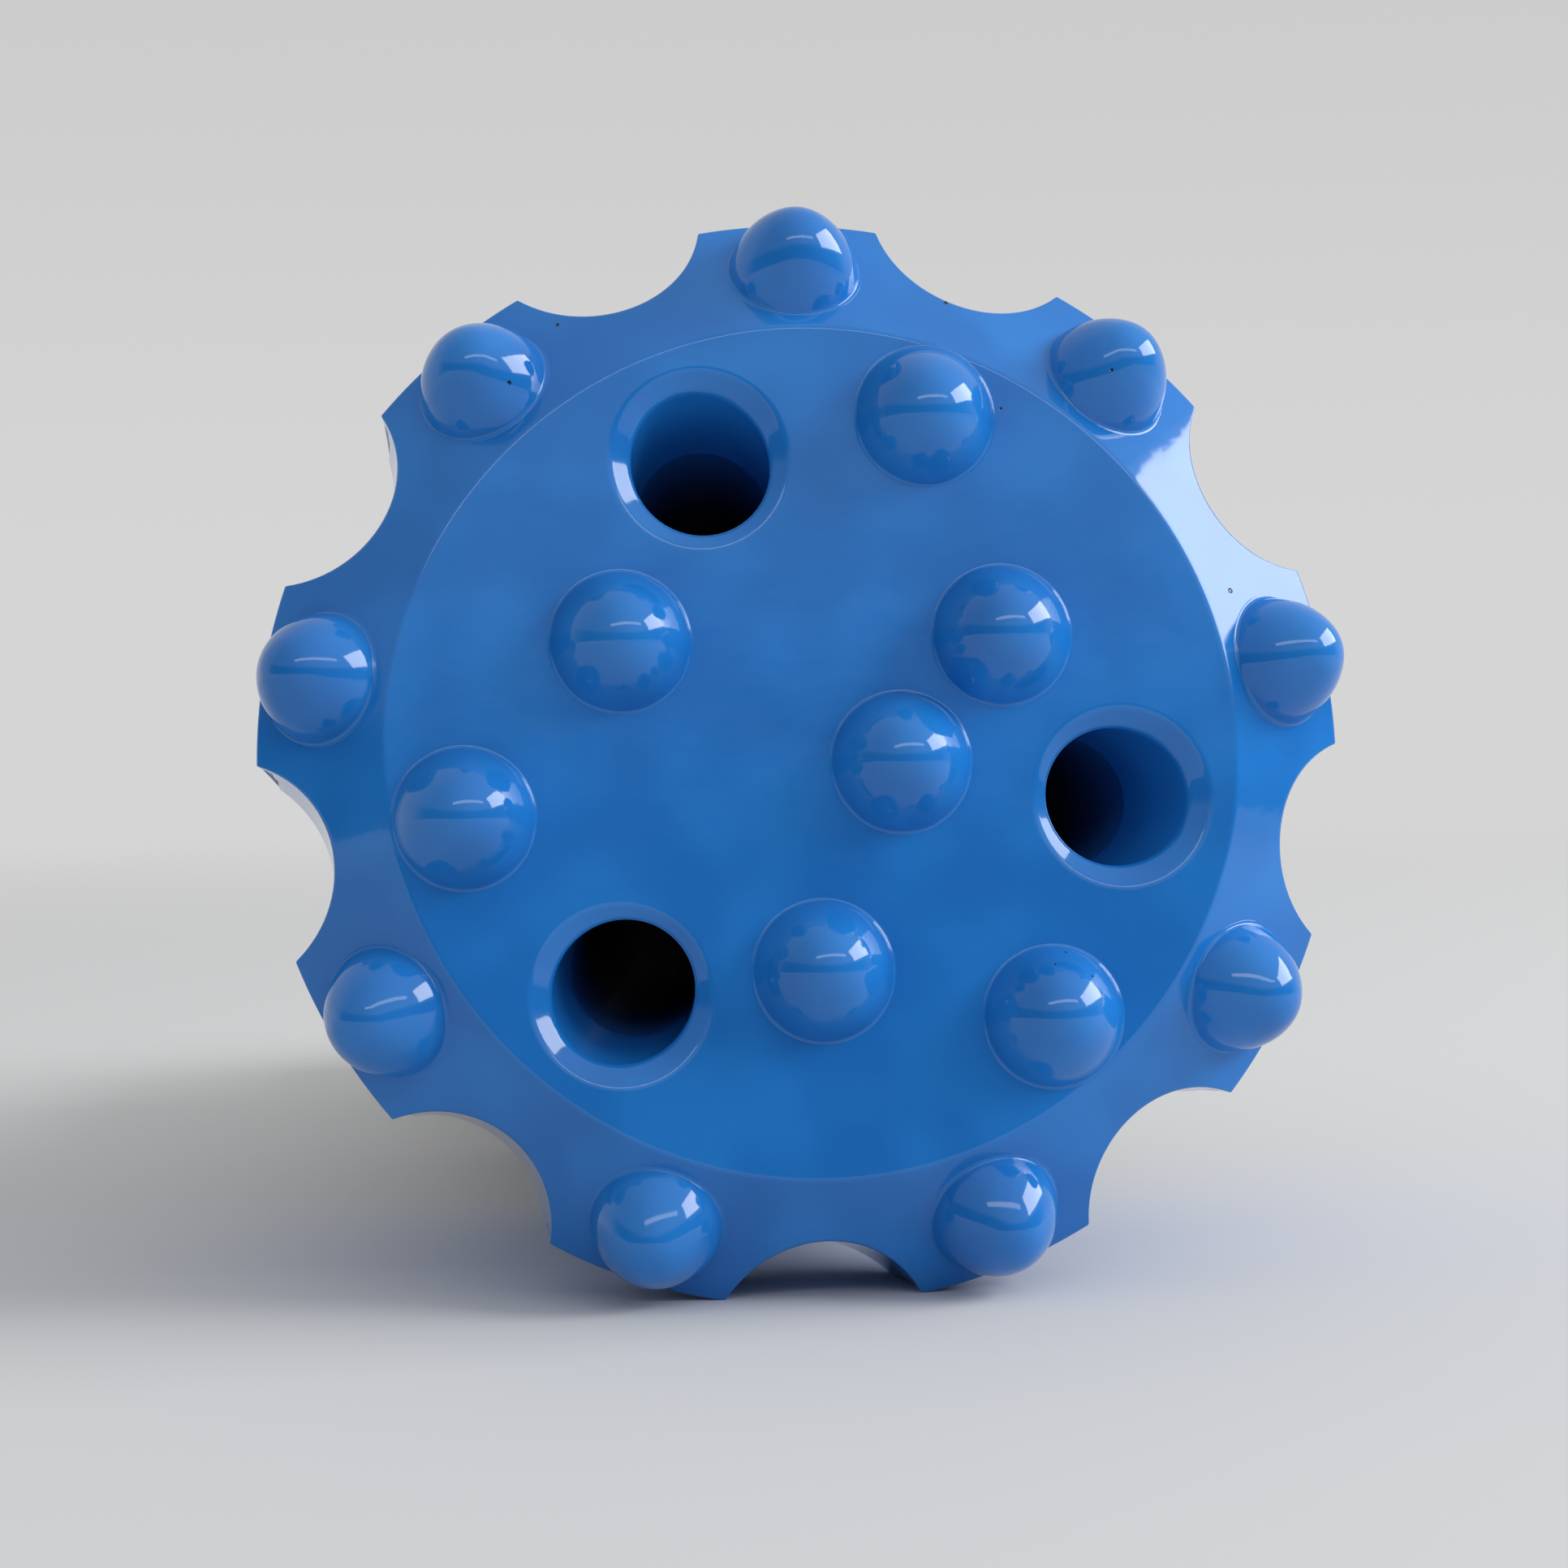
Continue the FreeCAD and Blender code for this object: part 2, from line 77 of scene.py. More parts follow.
def makePiece(name, patches, material, weld=0.002):
    # one mesh from several grids (points of rows x columns x 3, wrap); weld closes the seams
    points, faces, first = [], [], 0
    for grid, wrap in patches:
        rows, cols = grid.shape[:2]
        points.append(grid.reshape(-1, 3))
        faces.append(gridFaces(rows, cols, first, wrap))
        first += rows * cols
    mesh = bpy.data.meshes.new(name)
    mesh.from_pydata(place(np.concatenate(points)).tolist(), [], np.concatenate(faces).tolist())
    piece = bpy.data.objects.new(name, mesh)
    bpy.context.scene.collection.objects.link(piece)
    work = bmesh.new()
    work.from_mesh(mesh)
    bmesh.ops.remove_doubles(work, verts=work.verts, dist=weld * mm)
    bmesh.ops.dissolve_degenerate(work, dist=weld * mm / 2, edges=work.edges)
    work.to_mesh(mesh)
    work.free()
    mesh.shade_smooth()
    mesh.materials.append(material)
    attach(piece, "root")
    return piece


def blendMin(a, b, width):
    # the smaller of two amounts, with the crease between them rounded over a width
    return np.minimum(a, b) - np.maximum(width - np.abs(a - b), 0) ** 2 / (4 * width)


pathSizes = {
    "cutShare": 0.45,         # longest cut, as a share of the shorter straight line beside it
    "guardShare": 1.25,       # where the guard point stands, as a share of the cut
    "guardReach": 0.12,       # and how far past the cut it may be, in millimetres
}


def roundedPath(corners, cuts, arcPoints):
    # a path through corners (k x n x 2: k corners for each of n columns). At each inner corner the
    # path leaves the straight line a cut before it and comes back a cut after it, on the curve
    # (1-s)^2 A + 2s(1-s) B + s^2 C; a point just outside each curve keeps the straight parts straight
    rows = [corners[0]]
    for k in range(1, len(corners) - 1):
        before, here, after = corners[k - 1], corners[k], corners[k + 1]
        toBefore, toAfter = before - here, after - here
        lengthBefore = np.linalg.norm(toBefore, axis=-1, keepdims=True)
        lengthAfter = np.linalg.norm(toAfter, axis=-1, keepdims=True)
        cut = np.minimum(cuts[k], pathSizes["cutShare"] * np.minimum(lengthBefore, lengthAfter))
        guard = np.minimum(cut * pathSizes["guardShare"], cut + pathSizes["guardReach"])
        start, end = here + toBefore / lengthBefore * cut, here + toAfter / lengthAfter * cut
        rows.append(here + toBefore / lengthBefore * guard)
        for s in np.linspace(0, 1, arcPoints[k]):
            rows.append((1 - s) ** 2 * start + 2 * s * (1 - s) * here + s ** 2 * end)
        rows.append(here + toAfter / lengthAfter * guard)
    rows.append(corners[-1])
    return np.stack(rows)


def nodeTools(material):
    # short ways to add and join nodes in a material
    tree = material.node_tree
    tree.nodes.clear()
    output = tree.nodes.new("ShaderNodeOutputMaterial")
    shader = tree.nodes.new("ShaderNodeBsdfPrincipled")
    tree.links.new(shader.outputs[0], output.inputs[0])
    return tree, shader, output


def feed(tree, value, socket):
    # a number, colour or vector goes on the socket itself; an output is linked to it
    if isinstance(value, bpy.types.NodeSocket):
        tree.links.new(value, socket)
    elif value is not None:
        socket.default_value = value


def maths(tree, operation, a, b=None):
    node = tree.nodes.new("ShaderNodeMath")
    node.operation = operation
    for socket, value in zip(node.inputs, (a, b)):
        feed(tree, value, socket)
    return node.outputs[0]


def ramp(tree, value, low, high, start=0.0, end=1.0):
    # start below low, end above high, a smooth step between them
    node = tree.nodes.new("ShaderNodeMapRange")
    node.interpolation_type = "SMOOTHSTEP"
    for name, amount in (("Value", value), ("From Min", low), ("From Max", high),
                         ("To Min", start), ("To Max", end)):
        feed(tree, amount, node.inputs[name])
    return node.outputs[0]


def mixColour(tree, share, first, second):
    node = tree.nodes.new("ShaderNodeMix")
    node.data_type = "RGBA"
    feed(tree, share, node.inputs[0])
    feed(tree, first, node.inputs[6])
    feed(tree, second, node.inputs[7])
    return node.outputs[2]


def noise(tree, vector, scale, detail=2.0, roughness=0.5):
    node = tree.nodes.new("ShaderNodeTexNoise")
    feed(tree, vector, node.inputs["Vector"])
    node.inputs["Scale"].default_value = scale
    node.inputs["Detail"].default_value = detail
    node.inputs["Roughness"].default_value = roughness
    return node.outputs[0]


def bump(tree, height, distance, strength, normal=None):
    node = tree.nodes.new("ShaderNodeBump")
    node.inputs["Distance"].default_value = distance
    feed(tree, strength, node.inputs["Strength"])
    feed(tree, height, node.inputs["Height"])
    feed(tree, normal, node.inputs["Normal"])
    return node.outputs[0]


def bitCoordinates(tree):
    # where a point lies in the bit's own frame, in metres: x, y and z as separate numbers
    coordinates = tree.nodes.new("ShaderNodeTexCoord")
    offset = tree.nodes.new("ShaderNodeVectorMath")
    offset.operation = "SUBTRACT"
    tree.links.new(coordinates.outputs["Object"], offset.inputs[0])
    offset.inputs[1].default_value = faceCentre.tolist()
    parts = []
    for direction in bitFrame:
        dot = tree.nodes.new("ShaderNodeVectorMath")
        dot.operation = "DOT_PRODUCT"
        tree.links.new(offset.outputs[0], dot.inputs[0])
        dot.inputs[1].default_value = direction.tolist()
        parts.append(dot.outputs["Value"])
    return offset.outputs[0], parts


def toVector(tree, x, y, z):
    node = tree.nodes.new("ShaderNodeCombineXYZ")
    for socket, value in zip(node.inputs, (x, y, z)):
        feed(tree, value, socket)
    return node.outputs[0]


enamelLook = {
    "blue": (0.016, 0.205, 0.640, 1.0),
    "thinBlue": (0.012, 0.170, 0.560, 1.0),
    "gloss": 0.07,            # roughness of the enamel
    "index": 1.52,
    "peelSize": 330.0,        # orange peel, ripples per metre
    "peelHeight": 0.00006,
    "waveSize": 75.0,         # slow waves of a thick coat
    "waveHeight": 0.0002,
    "waveStrength": 0.25,
    "peelRoughness": 0.45,
    "peelStrength": 0.35,
    "colourBand": (0.35, 0.65),   # where the slow waves turn from thin to full blue
    "pitDepth": 0.0003,
    "pitColour": (0.004, 0.012, 0.04, 1.0),
    # pinholes in the coat: x, y on the bit in millimetres, and their radius
    "pits": ((-34.4, 43.2, 0.30), (-28.2, 51.6, 0.28), (18.0, 53.6, 0.30), (36.4, 43.9, 0.24),
             (50.5, 18.1, 0.34), (23.3, 39.8, 0.20), (-18.5, 31.0, 0.22), (28.0, -24.5, 0.14),
             (30.5, -27.5, 0.14), (26.2, -26.0, 0.12)),
}


def enamel():
    # thick gloss enamel: deep blue under a clear smooth surface, with orange peel and pinholes
    look = enamelLook
    material = bpy.data.materials.new("blueEnamel")
    material.use_nodes = True
    tree, shader, _ = nodeTools(material)
    point, (x, y, _) = bitCoordinates(tree)
    slow = noise(tree, point, look["waveSize"], 1.0)
    colour = mixColour(tree, ramp(tree, slow, *look["colourBand"]), look["thinBlue"], look["blue"])
    pitted = None
    for pitX, pitY, radius in look["pits"]:
        away = maths(tree, "SQRT", maths(tree, "ADD",
                     maths(tree, "POWER", maths(tree, "SUBTRACT", x, pitX * mm), 2.0),
                     maths(tree, "POWER", maths(tree, "SUBTRACT", y, pitY * mm), 2.0)))
        dot = ramp(tree, away, radius * 0.5 * mm, radius * mm, 1.0, 0.0)
        pitted = dot if pitted is None else maths(tree, "MAXIMUM", pitted, dot)
    colour = mixColour(tree, pitted, colour, look["pitColour"])
    feed(tree, colour, shader.inputs["Base Color"])
    shader.inputs["Roughness"].default_value = look["gloss"]
    shader.inputs["IOR"].default_value = look["index"]
    peel = noise(tree, point, look["peelSize"], 2.0, look["peelRoughness"])
    normal = bump(tree, slow, look["waveHeight"], look["waveStrength"])
    normal = bump(tree, peel, look["peelHeight"], look["peelStrength"], normal)
    normal = bump(tree, maths(tree, "SUBTRACT", 1.0, pitted), look["pitDepth"], 1.0, normal)
    feed(tree, normal, shader.inputs["Normal"])
    return material


steelLook = {
    "bright": (0.50, 0.50, 0.49, 1.0),
    "dull": (0.30, 0.30, 0.295, 1.0),
    "patchSize": 55.0,        # patches of oil film, per metre
    "patchBand": (0.35, 0.7),
    "glossBand": (0.3, 0.75),
    "roughness": (0.26, 0.44),
    "toolMarks": 2600.0,      # turning marks, per metre
    "markHeight": 0.00002,
    "markStrength": 0.5,
    "paintEnd": -0.0815,      # the enamel ends at the shoulder, along the bit
    "paintFade": 0.0004,
    "shadeToOverspray": (-0.034, -0.004),   # depth down the flushing holes over which the thin overspray gives way to painted shade
    # painted shade: near black, for the depths of the flushing holes
    "paintedHoleShade": (0.02, 0.025, 0.035, 1.0),
}


def machinedSteel():
    # turned and milled steel with a film of oil; the flushing holes in the head carry thin overspray
    # near their mouths and, further down, a near-black painted shade
    look = steelLook
    material = bpy.data.materials.new("machinedSteel")
    material.use_nodes = True
    tree, shader, _ = nodeTools(material)
    point, (x, y, z) = bitCoordinates(tree)
    reach = maths(tree, "SQRT", maths(tree, "ADD", maths(tree, "MULTIPLY", x, x),
                                      maths(tree, "MULTIPLY", y, y)))
    rings = noise(tree, toVector(tree, maths(tree, "MULTIPLY", z, look["toolMarks"]),
                                 maths(tree, "MULTIPLY", reach, look["toolMarks"]), 0.0), 1.0, 3.0, 0.6)
    patches = noise(tree, point, look["patchSize"], 4.0, 0.55)
    bare = mixColour(tree, ramp(tree, patches, *look["patchBand"]), look["dull"], look["bright"])
    # painted shade deep down the holes, turning into thin blue overspray near their mouths
    shadeToOverspray = ramp(tree, z, *look["shadeToOverspray"])
    oversprayAndShade = mixColour(tree, shadeToOverspray, look["paintedHoleShade"], enamelLook["thinBlue"])
    # inside the head the steel takes the overspray and the painted shade instead of its bare finish
    inHead = ramp(tree, z, look["paintEnd"] - look["paintFade"],
                  look["paintEnd"] + look["paintFade"])
    feed(tree, mixColour(tree, inHead, bare, oversprayAndShade), shader.inputs["Base Color"])
    feed(tree, maths(tree, "SUBTRACT", 1.0, inHead), shader.inputs["Metallic"])
    feed(tree, ramp(tree, patches, *look["glossBand"], *look["roughness"]),
         shader.inputs["Roughness"])
    feed(tree, bump(tree, rings, look["markHeight"], look["markStrength"]),
         shader.inputs["Normal"])
    return material


carbideLook = {"colour": (0.16, 0.16, 0.165, 1.0), "roughness": 0.42, "metallic": 1.0,
               "grain": 2400.0, "height": 0.00002}
plasticLook = {"colour": (0.72, 0.69, 0.60, 1.0), "roughness": 0.40, "metallic": 0.0,
               "grain": 900.0, "height": 0.00002}
plainLook = {
    "grainsPerPatch": 12,
    "patchBand": (0.3, 0.7),
    "paler": 1.12,            # colour of a pale patch against the finish's own
    "roughnessSwing": 0.05,
    "bumpStrength": 0.4,
}


def plainMaterial(name, colour, roughness, metallic, grain, height):
    # a smooth finish with a slight grain and patchiness
    look = plainLook
    material = bpy.data.materials.new(name)
    material.use_nodes = True
    tree, shader, _ = nodeTools(material)
    point, _ = bitCoordinates(tree)
    patches = noise(tree, point, grain / look["grainsPerPatch"], 3.0)
    paler = tuple(min(1.0, c * look["paler"]) for c in colour[:3]) + (1.0,)
    feed(tree, mixColour(tree, ramp(tree, patches, *look["patchBand"]), colour, paler),
         shader.inputs["Base Color"])
    shader.inputs["Metallic"].default_value = metallic
    swing = look["roughnessSwing"]
    feed(tree, ramp(tree, patches, *look["patchBand"], roughness - swing, roughness + swing),
         shader.inputs["Roughness"])
    feed(tree, bump(tree, noise(tree, point, grain, 3.0), height, look["bumpStrength"]),
         shader.inputs["Normal"])
    return material


blueEnamel = enamel()
steel = machinedSteel()
carbide = plainMaterial("sinteredCarbide", **carbideLook)
finishes = {"bit_body": steel, "foot_valve": plainMaterial("mouldedPlastic", **plasticLook)}
for nodeName, node in frame["nodes"].items():
    node.data.materials.clear()
    node.data.materials.append(finishes.get(nodeName, carbide))
print("materials made")


# the enamel coat on the head: lengths in millimetres, angles in degrees
headSizes = {
    "film": 0.2,              # thickness of the coat
    "gaugeRadius": 64.3,
    "bevelWidth": 14.5,
    "bevelAngle": 35.0,
    "skirtLength": 25.0,
    "skirtRelief": 9.0,
    "backBevelAngle": 48.0,
    "waistRadius": 49.0,
    "headLength": 82.0,
    "shoulderChamfer": 2.0,
    "landRadius": 39.5,
    "rootFillet": 3.0,
    "fluteCount": 9,
    "fluteRadius": 13.7,
    "fluteDepth": 7.7,
    "lowestFlute": -90.0,
    "edgeRounding": 0.4,      # how far the coat softens the edges
    "faceRounding": 0.55,
    "faceMargin": 0.4,        # flat ring between the rounding and the face's sectors
    "rearRounding": 0.48,
    "shoulderRounding": 0.5,
    "rootRounding": 0.2,
    "tuckShare": 0.8,         # how far into the root's fillet the coat is tucked away
    "waistHollow": 4.0,
    "fluteSteps": 16,
    "landSteps": 9,
    "arcPoints": (0, 8, 8, 7, 12, 5, 5, 4, 0),
    "cornerGap": 0.0006,      # least angle between a hollow's column and a corner's, in radians
    "missSlope": 400,         # how steeply a ray that misses the flute runs outwards
    "cornerSteps": (-0.42, -0.26, -0.18, -0.12, -0.07, -0.03, 0.0,
                    0.03, 0.07, 0.12, 0.18, 0.26, 0.42),
}


def fluteEdge(turn, sizes):
    # distance from the bit's axis to a flute's hollow, at an angle from the flute's middle:
    # the nearer crossing of a ray with the flute's circle; far out where the ray misses it
    centre = sizes["gaugeRadius"] - sizes["fluteDepth"] + sizes["fluteRadius"]
    radius = sizes["fluteRadius"] - sizes["film"]
    inside = radius ** 2 - (centre * np.sin(turn)) ** 2
    beyond = centre * np.cos(turn) + sizes["missSlope"] * np.abs(turn)
    return np.where(inside > 0, centre * np.cos(turn) - np.sqrt(np.maximum(inside, 0)), beyond)


def headTurns(sizes):
    # the angles of the columns round the head: close together at the flutes' corners
    centre = sizes["gaugeRadius"] - sizes["fluteDepth"] + sizes["fluteRadius"]
    radius, gauge = sizes["fluteRadius"] - sizes["film"], sizes["gaugeRadius"] + sizes["film"]
    corner = math.acos((gauge ** 2 + centre ** 2 - radius ** 2) / (2 * gauge * centre))
    swing = math.asin(gauge * math.sin(corner) / radius)
    sweep = np.linspace(0, swing, sizes["fluteSteps"])
    hollow = np.arctan2(radius * np.sin(sweep), centre - radius * np.cos(sweep))
    closeTo = corner + np.radians(sizes["cornerSteps"])
    pitch = 2 * math.pi / sizes["fluteCount"]
    land = np.linspace(closeTo[-1], pitch / 2, sizes["landSteps"])[1:]
    half = np.concatenate([hollow[hollow < closeTo[0] - sizes["cornerGap"]], closeTo, land])
    one = np.concatenate([-half[:0:-1], half[:-1]])
    return one, pitch


def headCorners(turns, sizes):
    # the corners of the head's section at each column: face, bevel, wall (skirt or flute), rear
    # bevel, waist, shoulder, root of the shank; the coat stands a film outside the steel
    film, bevel = sizes["film"], math.radians(sizes["bevelAngle"])
    relief, back = math.radians(sizes["skirtRelief"]), math.radians(sizes["backBevelAngle"])
    bareFace = sizes["gaugeRadius"] - sizes["bevelWidth"]
    face = bareFace + film * (math.sin(bevel) - (1 - math.cos(bevel)) / math.tan(bevel))
    gauge = sizes["gaugeRadius"] + film
    drop = sizes["bevelWidth"] * math.tan(bevel)
    skirtEnd = gauge - (sizes["skirtLength"] - drop) * math.tan(relief)
    hollow = fluteEdge(turns, sizes)
    width = sizes["edgeRounding"]
    bevelEdge = blendMin(np.full_like(turns, gauge), hollow, width)
    rearEdge = blendMin(np.full_like(turns, skirtEnd), hollow, width)
    waist = sizes["waistRadius"] + film
    same = np.ones_like(turns)
    bevelFoot = film - (bevelEdge - face) * math.tan(bevel)
    rearFoot = -sizes["skirtLength"] - film / 2 - (skirtEnd - rearEdge) / math.tan(back)
    waistFront = -sizes["skirtLength"] - film / 2 - (skirtEnd - waist) / math.tan(back)
    shoulder = -sizes["headLength"] - film
    corners = [
        (same * (face - sizes["faceRounding"] - sizes["faceMargin"]), same * film),
        (same * face, same * film),
        (bevelEdge, bevelFoot),
        (rearEdge, rearFoot),
        (same * waist, same * waistFront),
        (same * waist, same * (sizes["shoulderChamfer"] - sizes["headLength"])),
        (same * (waist - sizes["shoulderChamfer"]), same * shoulder),
        (same * (sizes["landRadius"] + sizes["rootFillet"] + film), same * shoulder),
        (same * (sizes["landRadius"] + sizes["rootFillet"] * sizes["tuckShare"]),
         same * (shoulder + 2 * film)),
    ]
    cuts = [0, sizes["faceRounding"], sizes["edgeRounding"], sizes["rearRounding"],
            sizes["waistHollow"], sizes["shoulderRounding"], sizes["shoulderRounding"],
            sizes["rootRounding"], 0]
    return np.stack([np.stack(corner, -1) for corner in corners]), cuts


def headGrid(sizes):
    # the section's rounded path at every column, turned about the axis
    one, pitch = headTurns(sizes)
    corners, cuts = headCorners(one, sizes)
    path = roundedPath(corners, cuts, sizes["arcPoints"])
    turns = np.concatenate([one + k * pitch for k in range(sizes["fluteCount"])])
    turns = turns + math.radians(sizes["lowestFlute"])
    across = np.tile(path[..., 0], (1, sizes["fluteCount"]))
    along = np.tile(path[..., 1], (1, sizes["fluteCount"]))
    grid = np.stack([across * np.cos(turns), across * np.sin(turns), along], -1)
    return grid, turns


# the coat on the face, in three sectors, each round its flushing hole
holeSizes = {
    "count": 3,
    "firstAngle": 110.0,
    "circle": 36.5,
    "radius": 8.25,
    "lean": 20.0,
    "rimRadius": 10.4,
    "rimSlope": 30.0,
    "rimRounding": 0.5,
    "throatRounding": 0.7,
    "coatDepth": 16.0,        # how far the coat goes down the hole
    "sideSteps": 26,
    "endRounding": 0.1,
    "tuck": 2.5,              # how far the coat's end is turned under, in film thicknesses
    "nearShare": 0.5,         # a row beside the rim: at most this share of the way to the outline
    "nearReach": 1.6,         # and this many millimetres
    "nearRounding": 0.05,
    "arcPoints": (0, 2, 8, 9, 3, 0),
    "solverRounds": 12,
}


def sectorEdge(rim, turns, sizes):
    # the outline of one 120-degree sector of the face, in order round its hole: the face's edge
    # between the two sides, then down one side to the centre and up the other
    middle = math.radians(sizes["firstAngle"])
    half = math.pi / sizes["count"]
    away = (turns - middle + math.pi) % (2 * math.pi) - math.pi
    inSector = np.sort(away[np.abs(away) <= half + 1e-9])
    arc = np.stack([rim * np.cos(inSector), rim * np.sin(inSector)], -1)
    shares = np.linspace(0, 1, sizes["sideSteps"])[1:, None]
    upper = arc[-1] * (1 - shares)
    lower = arc[0] * shares[:-1]
    return np.concatenate([arc, upper, lower]), middle


def holeSector(turns, rim, film, sizes):
    # rows from the sector's outline in to the rim, down the countersink and along the slanted
    # hole; each column keeps its direction seen from the middle of the hole's mouth
    edge, middle = sectorEdge(rim, turns, sizes)
    flat = edge - np.array([sizes["circle"], 0])
    aim = np.arctan2(flat[:, 1], flat[:, 0])
    lean, slope = math.radians(sizes["lean"]), math.radians(sizes["rimSlope"])
    radius = sizes["radius"] - film
    # the slanted hole cuts the plane of the face in an ellipse, longer towards the axis
    ellipse = radius / np.sqrt((np.cos(aim) * math.cos(lean)) ** 2 + np.sin(aim) ** 2)
    side = np.stack([np.cos(aim), np.sin(aim)], -1)
    start = ellipse[:, None] * side
    rimRadius = sizes["rimRadius"] + film * 0.5
    depth = np.zeros_like(aim)
    for _ in range(sizes["solverRounds"]):      # where the hole's wall leaves the countersink
        spot = start + np.outer(depth, [-math.sin(lean), 0])
        reach = np.linalg.norm(spot, axis=1)
        depth = (rimRadius - reach) * math.tan(slope) / math.cos(lean)
    throat = np.column_stack([start + np.outer(depth, [-math.sin(lean), 0]),
                              film - depth * math.cos(lean)])
    coatEnd = np.full_like(aim, sizes["coatDepth"])
    end = np.column_stack([start + np.outer(coatEnd, [-math.sin(lean), 0]),
                           film - coatEnd * math.cos(lean)])
    tuck = end + np.column_stack([side * sizes["tuck"] * film, np.zeros_like(aim)])
    onRim = np.column_stack([rimRadius * side, np.full_like(aim, film)])
    outline = np.column_stack([flat, np.full_like(aim, film)])
    width = np.maximum(np.linalg.norm(outline - onRim, axis=1), 1e-6)
    share = np.minimum(sizes["nearShare"], sizes["nearReach"] / width)
    near = onRim + (outline - onRim) * share[:, None]
    corners = np.stack([outline, near, onRim, throat, end, tuck])
    cuts = [0, sizes["nearRounding"], sizes["rimRounding"], sizes["throatRounding"],
            sizes["endRounding"], 0]
    path = roundedPath(corners, cuts, sizes["arcPoints"])
    path[..., 0] += sizes["circle"]
    return path, middle


def turned(grid, angle):
    # a grid turned about the bit's axis
    c, s = math.cos(angle), math.sin(angle)
    return grid @ np.array([[c, s, 0], [-s, c, 0], [0, 0, 1]])


headPatch, headColumns = headGrid(headSizes)
ring = float(np.linalg.norm(headPatch[0, 0, :2]))
sector, sectorMiddle = holeSector(headColumns, ring, headSizes["film"], holeSizes)
patches = [(headPatch[::-1], True)]
for k in range(holeSizes["count"]):
    patches.append((turned(sector, sectorMiddle + k * 2 * math.pi / holeSizes["count"]), True))
headEnamel = makePiece("headEnamel", patches, blueEnamel)
print("head coat:", len(headEnamel.data.polygons), "faces")


# the coat on the buttons
buttonSizes = {
    # foot radius, height, ball at the tip, how far the ball reaches from the axis in degrees
    "face": {"radius": 8.0, "height": 7.8, "tip": 6.0, "tipAngle": 40.0, "meniscus": 0.45},
    "gauge": {"radius": 7.5, "height": 8.2, "tip": 5.2, "tipAngle": 39.0, "meniscus": 0.45},
    "gaugeDome": (7.1, 7.5),      # the carbide's own dome: height and foot radius
    "ringCount": 3,
    "outerRing": (41.5, 70.0),    # distance from the axis, direction of the first
    "middleRing": (25.8, 30.0),
    "core": (10.1, -10.0),
    "bitRadius": 65.0,
    "columns": 96,
    "tipRows": 16,
    "flankRows": 16,
    "meniscusRows": 8,
    "solverRounds": 6,
    "lip": (0.12, 0.02, 0.1),     # row past the meniscus: out, down, and more down with the fall
    "tuck": (0.2, 0.25),          # last row, inside the ground: out, down
}


def buttonCap(kind, fall):
    # the coat over one button, about its own axis. The profile is a ball at the tip, then one arc
    # down the flank: its middle lies on the line from the ball's middle away from the joint, as
    # far out as makes it end at the foot. A round meniscus touches both the flank and the ground.
    # fall is how fast the ground drops to the sides: ground height = -fall * (across)^2
    sizes, film = buttonSizes[kind], headSizes["film"]
    ball, joint = sizes["tip"] + film, math.radians(sizes["tipAngle"])
    foot, middle = sizes["radius"] + film, sizes["height"] - sizes["tip"]
    small = sizes["meniscus"]
    reach = foot * math.sin(joint) - middle * math.cos(joint)
    flank = (foot ** 2 + middle ** 2 + ball ** 2 - 2 * ball * reach) / (2 * (ball - reach))
    flankX = (ball - flank) * math.sin(joint)
    flankZ = middle + (ball - flank) * math.cos(joint)
    around = np.linspace(0, 2 * math.pi, buttonSizes["columns"], endpoint=False)
    same, level = np.ones_like(around), np.full_like(around, film)
    # the meniscus circle stands flank + small from the flank's middle
    for _ in range(buttonSizes["solverRounds"]):
        out = flankX + np.sqrt((flank + small) ** 2 - (level + small - flankZ) ** 2)
        level = film - fall * (out * np.sin(around)) ** 2
    touch = np.arctan2(out - flankX, level + small - flankZ)     # from the axis to the meniscus
    rows = []
    for s in np.linspace(0, 1, buttonSizes["tipRows"]):
        rows.append((same * ball * math.sin(joint * s),
                     same * (middle + ball * math.cos(joint * s))))
    for s in np.linspace(0, 1, buttonSizes["flankRows"])[1:]:
        lean = joint + (touch - joint) * s
        rows.append((flankX + flank * np.sin(lean), flankZ + flank * np.cos(lean)))
    for s in np.linspace(0, 1, buttonSizes["meniscusRows"])[1:]:
        lean = touch * (1 - s)
        rows.append((out - small * np.sin(lean), level + small - small * np.cos(lean)))
    lip, tuck = buttonSizes["lip"], buttonSizes["tuck"]
    rows.append((out + lip[0], level - lip[1] - lip[2] * fall))
    rows.append((out + tuck[0], level - tuck[1]))
    return np.stack([np.stack([r * np.cos(around), r * np.sin(around), h], -1) for r, h in rows])


def seated(grid, reach, height, angle, lean):
    # a cap leaned outwards, moved out from the axis and turned to its direction
    c, s = math.cos(lean), math.sin(lean)
    leaned = grid @ np.array([[c, 0, -s], [0, 1, 0], [s, 0, c]])
    return turned(leaned + np.array([reach, 0, height]), math.radians(angle))


bevelLean = math.radians(headSizes["bevelAngle"])
domeHeight, domeFoot = buttonSizes["gaugeDome"]
gaugeDome = (domeFoot ** 2 + domeHeight ** 2) / (2 * domeHeight)
gaugeSeat = buttonSizes["bitRadius"] - gaugeDome + (gaugeDome - domeHeight) * math.sin(bevelLean)
gaugeDrop = (gaugeSeat - headSizes["gaugeRadius"] + headSizes["bevelWidth"]) * math.tan(bevelLean)
gaugeFall = math.sin(bevelLean) / (2 * gaugeSeat)
pitch = 360 / headSizes["fluteCount"]
seats = [("gaugeEnamel%d" % (k + 1), "gauge", gaugeSeat, -gaugeDrop,
          headSizes["lowestFlute"] + (k + 0.5) * pitch, bevelLean)
         for k in range(headSizes["fluteCount"])]
